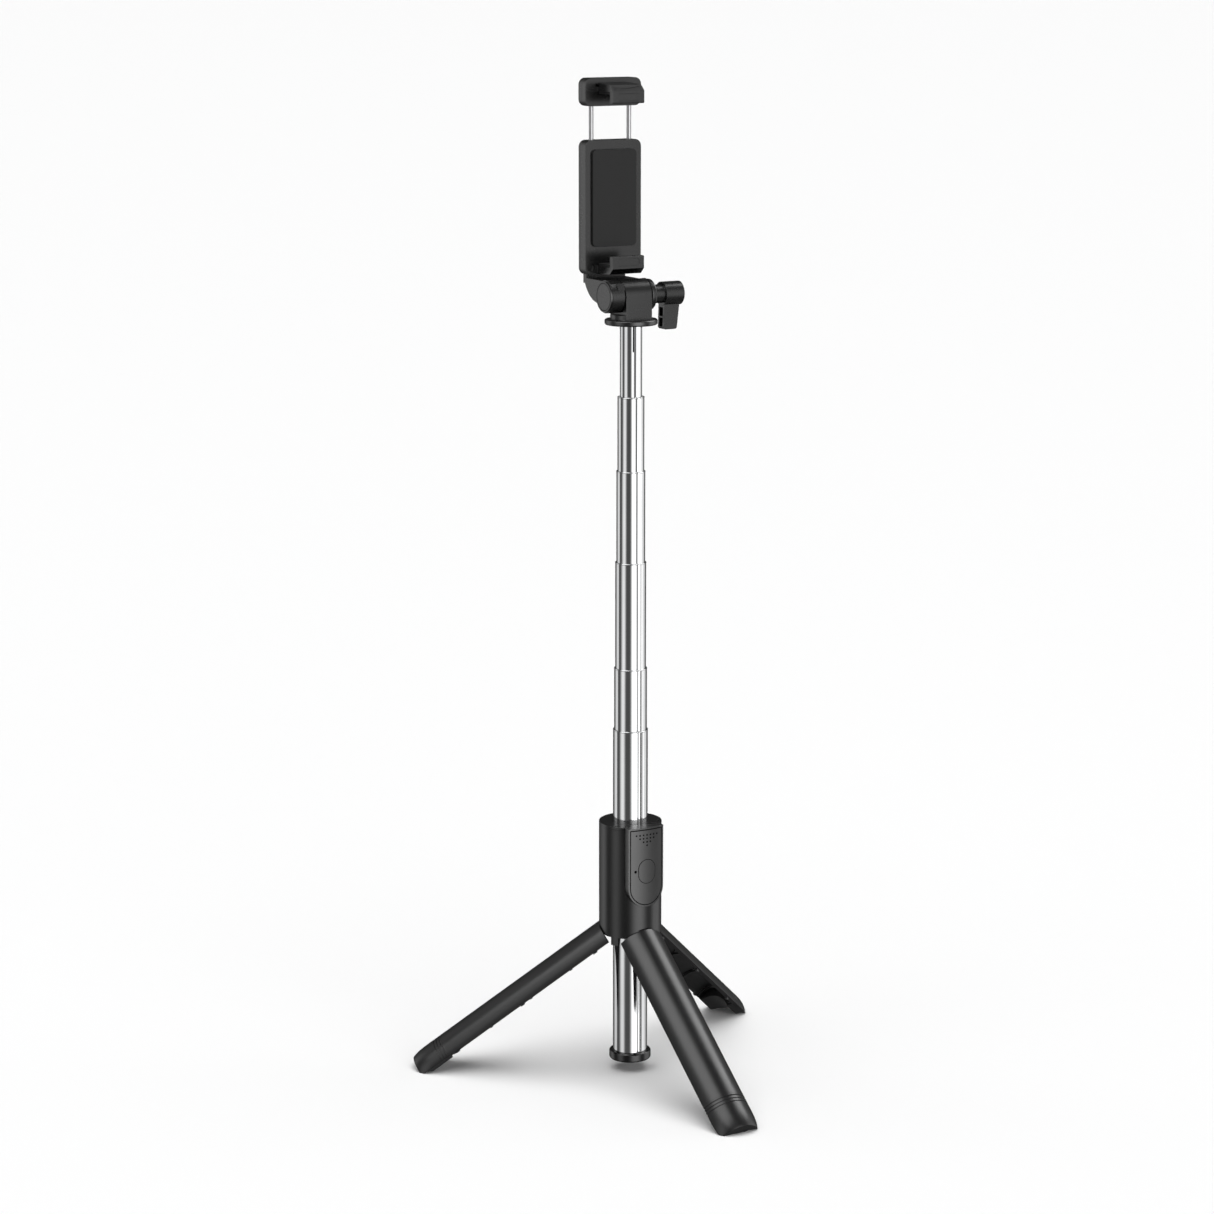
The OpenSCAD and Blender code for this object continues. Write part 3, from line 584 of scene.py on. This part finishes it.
def arch_path(r, low, top):
    """Closed path round a slot with a round lower end and a flat top."""
    rises = [(top - low) * i / SIDE_STEPS for i in range(1, SIDE_STEPS)]
    left = [(-r, low + rise) for rise in rises]
    across = [(-r + 2 * r * i / TOP_STEPS, top) for i in range(TOP_STEPS + 1)]
    right = [(r, top - rise) for rise in rises]
    return lower_arc(r, low) + left + across + right


def line_ribbon(path, width):
    """Vertices and faces of a thin raised line that follows a closed path on the face."""
    verts, faces = [], []
    count = len(path)
    for i, (x, z) in enumerate(path):
        (x0, z0), (x1, z1) = path[i - 1], path[(i + 1) % count]
        along = Vector((x1 - x0, z1 - z0)).normalized()
        dx, dz = -along.y * width / 2, along.x * width / 2
        for reach in (MARK_LIFT, -SUNK):
            verts += [on_face(x + dx, z + dz, reach), on_face(x - dx, z - dz, reach)]
    for i in range(count):
        a, b = 4 * i, 4 * ((i + 1) % count)
        faces += [(a, b, b + 1, a + 1), (a + 2, a + 3, b + 3, b + 2)]
        faces += [(a, a + 2, b + 2, b), (a + 1, b + 1, b + 3, a + 3)]
    return verts, faces


def disc(x, z, r):
    """Vertices and faces of a thin disc on the face."""
    turns = [2 * math.pi * i / DISC_POINTS for i in range(DISC_POINTS)]
    verts = []
    for reach in (MARK_LIFT, -SUNK):
        verts += [on_face(x + r * math.cos(turn), z + r * math.sin(turn), reach) for turn in turns]
    caps = [tuple(range(DISC_POINTS)), tuple(reversed(range(DISC_POINTS, 2 * DISC_POINTS)))]
    return verts, caps + ring_faces(0, DISC_POINTS, DISC_POINTS)


def remote_painted_shade_and_dots():
    """Painted shade in the remote's edge groove, in the gap round the button and in the indicator's
    hole, as dark lines and a dark disc, and the remote's dark dots.
    """
    edge = arch_path(REMOTE_R - EDGE_LINE_INSET, REMOTE_ARC_Z, REMOTE_TOP - EDGE_LINE_DROP)
    gap = oval_path(BUTTON_R, BUTTON_Z - BUTTON_HALF_LENGTH, BUTTON_Z + BUTTON_HALF_LENGTH)
    hole_x, hole_rise, hole_r = HOLE
    shapes = [
        line_ribbon(edge, EDGE_LINE_WIDTH),
        line_ribbon(gap, BUTTON_LINE_WIDTH),
        disc(hole_x, BUTTON_Z + hole_rise, hole_r),
    ]
    for row in range(DOT_ROWS):
        z = DOT_LOW + DOT_RISE * row
        shapes += [disc(DOT_STEP * i, z, DOT_R) for i in range(-row, row + 1)]
    verts, faces = [], []
    for more_verts, more_faces in shapes:
        faces += [tuple(i + len(verts) for i in face) for face in more_faces]
        verts += more_verts
    mesh_object("remote_painted_shade_and_dots", verts, faces, "remote", MATERIALS["shadow"])


# ---- head details ----

# The height of the axis that the head tilts round
TILT_Z = 339.3
RING_POINTS = 72


def painted_shade_ring(name, x0, x1, r, body, thick=0.5):
    """Painted shade in the joint between two turning pieces: a dark ring round the tilt axis from x0 to
    x1.
    """
    verts, faces = [], []
    corners = ((x0, r), (x1, r), (x1, r - thick), (x0, r - thick))
    for j, (x, reach) in enumerate(corners):
        for i in range(RING_POINTS):
            turn = 2 * math.pi * i / RING_POINTS
            verts.append((x, reach * math.cos(turn), TILT_Z + reach * math.sin(turn)))
        after = (j + 1) % len(corners)
        faces += ring_faces(j * RING_POINTS, after * RING_POINTS, RING_POINTS)
    mesh_object(name, verts, faces, body, MATERIALS["shadow"])


# ---- studio ----

# In metres
FLOOR_SIZE = 200
FLOOR_GREY = (0.86, 0.86, 0.86, 1)


def add_floor():
    bpy.ops.mesh.primitive_plane_add(size=FLOOR_SIZE, location=(0, 0, FLOOR_Z))
    floor = bpy.context.object
    floor.name = "floor"
    made, tree, shader, where = new_material("floor_paper")
    shader.inputs["Base Color"].default_value = FLOOR_GREY
    shader.inputs["Roughness"].default_value = 0.9
    shader.inputs["Specular IOR Level"].default_value = 0.1
    floor.data.materials.append(made)
    floor.visible_glossy = False


# Light round the pole as (degrees to the right of the camera's side, brightness)
STUDIO = [
    (-180, 0.06), (-155, 0.06), (-140, 0.25), (-128, 0.5), (-118, 1.0), (-104, 1.0),
    (-97, 0.12), (-78, 0.1), (-68, 0.7), (-60, 1.15), (-46, 1.1), (-38, 0.4), (-31, 0.1),
    (-6, 0.09), (2, 0.35), (9, 1.3), (18, 2.4), (40, 2.8), (50, 1.9), (58, 0.7), (66, 0.2),
    (80, 0.12), (87, 0.7), (93, 1.6), (104, 1.4), (112, 0.8), (119, 1.3), (127, 0.6),
    (136, 0.25), (150, 0.1), (180, 0.06),
]
STUDIO_PEAK = 3.0
# The bands end over and under these shares of the sky, from straight down to straight up
BAND_REACH = [(0.2, 0), (0.36, 1), (0.7, 1), (0.84, 0)]
# Brightness beyond the bands, low and high in the sky, and of the background that the camera sees
BEYOND = [(0.35, 0.12), (0.6, 0.06)]
BACKDROP = 1.04
# Degrees from the x axis round to the camera's side, clockwise seen from above
CAMERA_SIDE = 90 - CAMERA_TURNS[2]


def add_world():
    world = bpy.data.worlds.new("studio")
    bpy.context.scene.world = world
    world.use_nodes = True
    tree = world.node_tree
    background = tree.nodes["Background"]
    way = tree.nodes.new("ShaderNodeTexCoord").outputs["Generated"]
    rotation = {"Vector": way, "Axis": (0, 0, 1), "Angle": math.radians(CAMERA_SIDE)}
    turned = add(tree, "ShaderNodeVectorRotate", rotation, rotation_type="AXIS_ANGLE").outputs["Vector"]
    split = add(tree, "ShaderNodeSeparateXYZ", {"Vector": turned}).outputs
    angle = math_node(tree, "ARCTAN2", split["Y"], split["X"])
    share = share_of(tree, angle, -math.pi, math.pi)
    bands = ramp(tree, share, [((turn + 180) / 360, light / STUDIO_PEAK) for turn, light in STUDIO])
    height = share_of(tree, split["Z"], -1, 1)
    keep = ramp(tree, height, BAND_REACH)
    beyond = ramp(tree, height, [(level, light / STUDIO_PEAK) for level, light in BEYOND])
    mixed = mix(tree, keep, beyond, bands)
    seen = add(tree, "ShaderNodeLightPath").outputs["Is Camera Ray"]
    white = (BACKDROP / STUDIO_PEAK,) * 3 + (1,)
    tree.links.new(mix(tree, seen, mixed, white), background.inputs["Color"])
    background.inputs["Strength"].default_value = STUDIO_PEAK


# The point that the soft boxes face, and how far from it they are, in metres
LIGHT_TARGET = Vector((0, 0, 0.2))
LIGHT_DISTANCE = 1.6


def add_light(name, turn, height, size, power):
    """A soft box for the highlights, at degrees to the camera's right and above the target."""
    data = bpy.data.lights.new(name, "AREA")
    data.shape = "RECTANGLE"
    data.size, data.size_y = size
    data.energy = power
    light = bpy.data.objects.new(name, data)
    turn, height = math.radians(turn - CAMERA_SIDE), math.radians(height)
    level = math.cos(height)
    way = Vector((math.cos(turn) * level, math.sin(turn) * level, math.sin(height)))
    light.location = LIGHT_TARGET + way * LIGHT_DISTANCE
    light.rotation_euler = (-way).to_track_quat("-Z", "Y").to_euler()
    light.visible_diffuse = False
    bpy.context.scene.collection.objects.link(light)


# The overhead light's strength, and its width and tilt in degrees
SUN_POWER = 2.9
SUN_WIDTH = 75
SUN_TURNS = (4, -6, 0)


def add_sun():
    """Soft light from overhead for the plain surfaces and the shadows on the floor."""
    data = bpy.data.lights.new("overhead", "SUN")
    data.energy = SUN_POWER
    data.angle = math.radians(SUN_WIDTH)
    sun = bpy.data.objects.new("overhead", data)
    sun.rotation_euler = [math.radians(turn) for turn in SUN_TURNS]
    sun.visible_glossy = False
    bpy.context.scene.collection.objects.link(sun)


add_camera()
paint_nodes()
soften_nodes()
add_lips()
painted_slit_shade()
add_feet()
remote_painted_shade_and_dots()
# Painted shade: dark rings in the gaps round the tilt axis, at the barrel, the pivot cap and the washer
painted_shade_ring("barrel_joint_painted_shade", -7.0, -6.2, 7.05, "tilt_arm")
painted_shade_ring("cap_joint_painted_shade", -13.43, -13.2, 5.92, "tilt_arm", 0.26)
painted_shade_ring("washer_joint_painted_shade", 6.2, 6.75, 7.05, "section_1")
add_floor()
add_world()
add_sun()
add_light("upper_left", -55, 56, (1.5, 1.3), 16)
add_light("right_strip", 120, 43, (0.6, 0.9), 8.5)
bpy.context.scene.view_settings.view_transform = "Standard"
